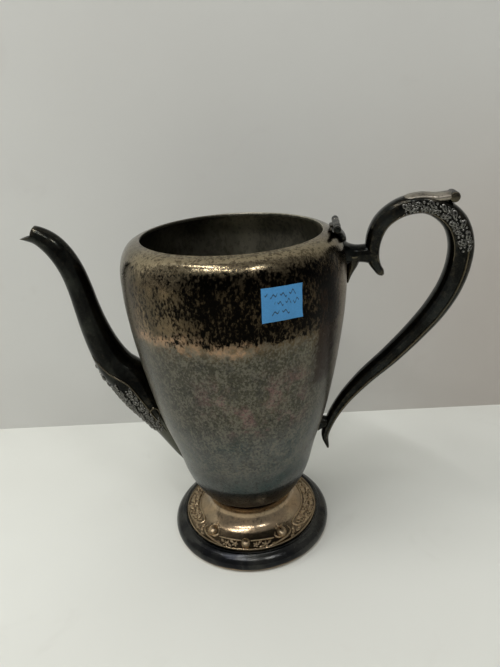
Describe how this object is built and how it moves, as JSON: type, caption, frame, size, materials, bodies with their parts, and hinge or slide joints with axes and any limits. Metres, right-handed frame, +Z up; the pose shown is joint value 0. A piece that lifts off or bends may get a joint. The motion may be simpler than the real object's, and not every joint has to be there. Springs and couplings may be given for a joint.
{
  "type": "footed coffee pot",
  "caption": "Tapered footed coffee pot with a tall curved spout, an S-scroll handle and an open mouth with a lid hinge.",
  "frame": {"origin": "under the middle of the whole pot, spout tip to handle, on the surface that the foot stands on; the body's axis is 3.3 mm towards the spout", "axes": "+Z up along the body's axis, +X towards the handle, -X towards the spout, Y across"},
  "size_m": [0.243, 0.1212, 0.2064],
  "materials": {
    "tarnished_silver": "satin",
    "dark_cast_silver": "satin",
    "golden_foot": "satin",
    "blackened_rim": "gloss",
    "blue_paper": "matte"
  },
  "bodies": {
    "pot": {"body_shell": "tarnished_silver", "foot_collar": "blackened_rim", "foot_dome": "golden_foot", "foot_rim": "blackened_rim", "spout": "dark_cast_silver", "spout_hood": "dark_cast_silver", "handle_grip": "dark_cast_silver", "handle_upper_socket": "dark_cast_silver", "handle_lower_pad": "dark_cast_silver", "hinge_bracket": "dark_cast_silver", "hinge_pin": "dark_cast_silver", "price_tag": "blue_paper"},
    "lid_hinge_leaf": {"lid_knuckle": "dark_cast_silver"}
  },
  "joints": [
    {"name": "lid_hinge", "type": "hinge", "parent": "pot", "child": "lid_hinge_leaf", "pos_m": [0.0517, 0, 0.1916], "axis": [0, 1, 0], "range_deg": [0, 110]}
  ]
}
